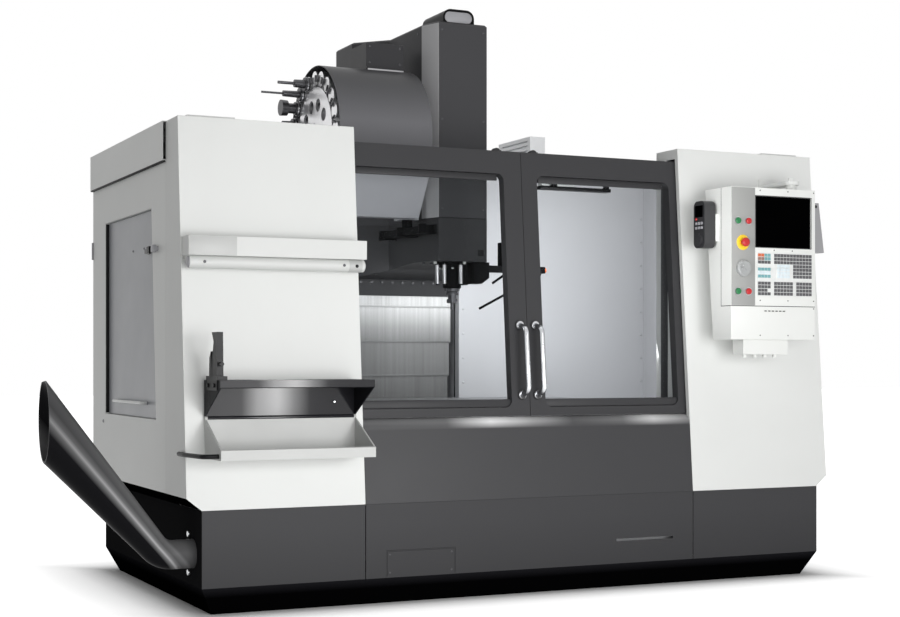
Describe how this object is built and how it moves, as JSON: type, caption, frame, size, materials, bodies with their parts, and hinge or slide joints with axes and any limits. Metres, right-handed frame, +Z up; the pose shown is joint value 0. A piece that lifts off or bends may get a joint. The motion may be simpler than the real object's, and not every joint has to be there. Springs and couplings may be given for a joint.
{
  "type": "cnc machining center",
  "caption": "Enclosed vertical machining center with sliding front doors, travelling head and table, side tool changer, swivelling pendant and chip auger.",
  "frame": {"origin": "on the floor, straight under the spindle axis", "axes": "+X along the table to the operator's right, +Y from the operator to the column, +Z up"},
  "size_m": [3.639, 2.4573, 2.666],
  "materials": {
    "white_paint": "smooth white powder coat",
    "charcoal_paint": "satin charcoal powder coat",
    "black_paint": "satin black paint",
    "liner_paint": "pale grey enamel",
    "grey_paint": "mid grey paint",
    "casting_paint": "painted grey casting",
    "table_iron": "ground and machined",
    "bright_steel": "bright machined steel",
    "way_steel": "brushed stainless sheet",
    "chrome": "polished",
    "dark_steel": "blackened steel",
    "window_glass": "clear tinted pane",
    "screen_glass": "dark display glass",
    "pendant_paint": "off-white textured paint",
    "keyboard": "printed membrane",
    "black_plastic": "matt moulded plastic",
    "red_plastic": "moulded red plastic",
    "green_plastic": "moulded green plastic"
  },
  "bodies": {
    "enclosure": {"base_casting": "casting_paint", "levelling_feet": "bright_steel", "column_casting": "casting_paint", "linear_rails": "bright_steel", "servo_motors": "black_paint", "base_skirt": "black_paint", "base_panels": "charcoal_paint", "left_front_cover": "white_paint", "right_front_cover": "white_paint", "left_side_panel": "white_paint", "right_side_panel": "white_paint", "roof_caps": "white_paint", "sill_panel": "charcoal_paint", "door_track": "bright_steel", "inner_liner": "liner_paint", "chip_chute": "charcoal_paint", "way_plate_fixed": "way_steel", "changer_frame": "grey_paint", "changer_cover": "charcoal_paint", "electrical_cabinet": "white_paint", "upper_shelf": "white_paint", "tool_tray": "white_paint", "cover_brackets": "black_paint"},
    "left_door": {"left_door_frame": "charcoal_paint", "left_door_window": "window_glass", "left_door_handle": "black_plastic"},
    "right_door": {"right_door_frame": "charcoal_paint", "right_door_window": "window_glass", "right_door_handle": "black_plastic"},
    "head": {"head_casting": "charcoal_paint", "head_cover": "charcoal_paint", "spindle_housing": "black_paint", "coolant_nozzles": "chrome", "way_plate_upper": "way_steel"},
    "spindle": {"spindle_rotor": "bright_steel"},
    "second_plate": {"way_plate_second": "way_steel"},
    "third_plate": {"way_plate_third": "way_steel"},
    "z_screw": {"z_ball_screw": "bright_steel"},
    "y_screw": {"y_ball_screw": "bright_steel"},
    "x_screw": {"x_ball_screw": "bright_steel"},
    "saddle": {"saddle": "casting_paint"},
    "table": {"table": "table_iron"},
    "drum": {"tool_drum": "bright_steel", "stored_tools": "dark_steel"},
    "arm": {"change_arm": "black_paint"},
    "auger": {"chip_auger": "dark_steel"},
    "pendant": {"pendant_housing": "pendant_paint", "pendant_screen": "screen_glass", "pendant_keyboard": "keyboard", "jog_remote": "black_plastic"},
    "stop_button": {"emergency_stop": "red_plastic"},
    "on_button": {"power_on_button": "green_plastic"},
    "off_button": {"power_off_button": "red_plastic"},
    "start_button": {"cycle_start_button": "green_plastic"},
    "hold_button": {"feed_hold_button": "red_plastic"},
    "dial": {"jog_dial": "black_plastic"},
    "side_window": {"side_window": "grey_paint"},
    "bin_lid": {"tray_lid": "charcoal_paint", "toolholder_fixture": "black_paint"},
    "rear_door": {"cabinet_door": "white_paint"}
  },
  "joints": [
    {"name": "left_door_slide", "type": "slide", "parent": "enclosure", "child": "left_door", "axis": [-1, 0, 0], "range_m": [0, 0.6]},
    {"name": "right_door_slide", "type": "slide", "parent": "enclosure", "child": "right_door", "axis": [1, 0, 0], "range_m": [0, 0.6]},
    {"name": "head_travel", "type": "slide", "parent": "enclosure", "child": "head", "axis": [0, 0, 1], "range_m": [-0.385, 0.25]},
    {"name": "second_plate_travel", "type": "slide", "parent": "enclosure", "child": "second_plate", "axis": [0, 0, 1], "range_m": [-0.26, 0.17]},
    {"name": "third_plate_travel", "type": "slide", "parent": "enclosure", "child": "third_plate", "axis": [0, 0, 1], "range_m": [-0.13, 0.085]},
    {"name": "spindle_spin", "type": "hinge", "parent": "head", "child": "spindle", "pos_m": [0, 0, 1.35], "axis": [0, 0, 1], "continuous": true},
    {"name": "z_screw_spin", "type": "hinge", "parent": "enclosure", "child": "z_screw", "pos_m": [0, 0.795, 1.5], "axis": [0, 0, 1], "continuous": true},
    {"name": "saddle_travel", "type": "slide", "parent": "enclosure", "child": "saddle", "axis": [0, 1, 0], "range_m": [-0.254, 0.254]},
    {"name": "y_screw_spin", "type": "hinge", "parent": "enclosure", "child": "y_screw", "pos_m": [0, 0, 0.42], "axis": [0, 1, 0], "continuous": true},
    {"name": "table_travel", "type": "slide", "parent": "saddle", "child": "table", "axis": [1, 0, 0], "range_m": [-0.508, 0.508]},
    {"name": "x_screw_spin", "type": "hinge", "parent": "saddle", "child": "x_screw", "pos_m": [0, 0, 0.678], "axis": [1, 0, 0], "continuous": true},
    {"name": "drum_spin", "type": "hinge", "parent": "enclosure", "child": "drum", "pos_m": [-0.6, 0, 2.04], "axis": [1, 0, 0], "continuous": true},
    {"name": "arm_swing", "type": "hinge", "parent": "enclosure", "child": "arm", "pos_m": [-0.235, 0, 1.61], "axis": [0, 0, 1], "range_deg": [-4, 25]},
    {"name": "auger_spin", "type": "hinge", "parent": "enclosure", "child": "auger", "pos_m": [0, -0.739, 0.238], "axis": [1, 0, 0], "continuous": true},
    {"name": "pendant_swivel", "type": "hinge", "parent": "enclosure", "child": "pendant", "pos_m": [1.285, -0.935, 1.8], "axis": [0, 0, 1], "range_deg": [0, 90]},
    {"name": "emergency_stop_press", "type": "slide", "parent": "pendant", "child": "stop_button", "axis": [0, 1, 0], "range_m": [0, 0.004]},
    {"name": "power_on_press", "type": "slide", "parent": "pendant", "child": "on_button", "axis": [0, 1, 0], "range_m": [0, 0.0035], "stiffness_N_per_m": 600},
    {"name": "power_off_press", "type": "slide", "parent": "pendant", "child": "off_button", "axis": [0, 1, 0], "range_m": [0, 0.0035], "stiffness_N_per_m": 600},
    {"name": "cycle_start_press", "type": "slide", "parent": "pendant", "child": "start_button", "axis": [0, 1, 0], "range_m": [0, 0.0035], "stiffness_N_per_m": 600},
    {"name": "feed_hold_press", "type": "slide", "parent": "pendant", "child": "hold_button", "axis": [0, 1, 0], "range_m": [0, 0.0035], "stiffness_N_per_m": 600},
    {"name": "jog_dial_turn", "type": "hinge", "parent": "pendant", "child": "dial", "pos_m": [0.926, -1.06, 1.416], "axis": [0, 1, 0], "continuous": true},
    {"name": "side_window_swing", "type": "hinge", "parent": "enclosure", "child": "side_window", "pos_m": [-1.52965, 0.48965, 1.2], "axis": [0, 0, -1], "range_deg": [0, 95]},
    {"name": "bin_lid_fold", "type": "hinge", "parent": "enclosure", "child": "bin_lid", "pos_m": [-1.15, -0.84195, 0.778], "axis": [1, 0, 0], "range_deg": [0, 57]},
    {"name": "cabinet_door_swing", "type": "hinge", "parent": "enclosure", "child": "rear_door", "pos_m": [1.0073, 1.333, 1.3], "axis": [0, 0, -1], "range_deg": [0, 120]}
  ],
  "couplings": [
    {"joint": "second_plate_travel", "follows": "head_travel", "ratio": 0.66667},
    {"joint": "third_plate_travel", "follows": "head_travel", "ratio": 0.33333},
    {"joint": "z_screw_spin", "follows": "head_travel", "rad_per_m": 628.32},
    {"joint": "y_screw_spin", "follows": "saddle_travel", "rad_per_m": 628.32},
    {"joint": "x_screw_spin", "follows": "table_travel", "rad_per_m": 628.32}
  ]
}
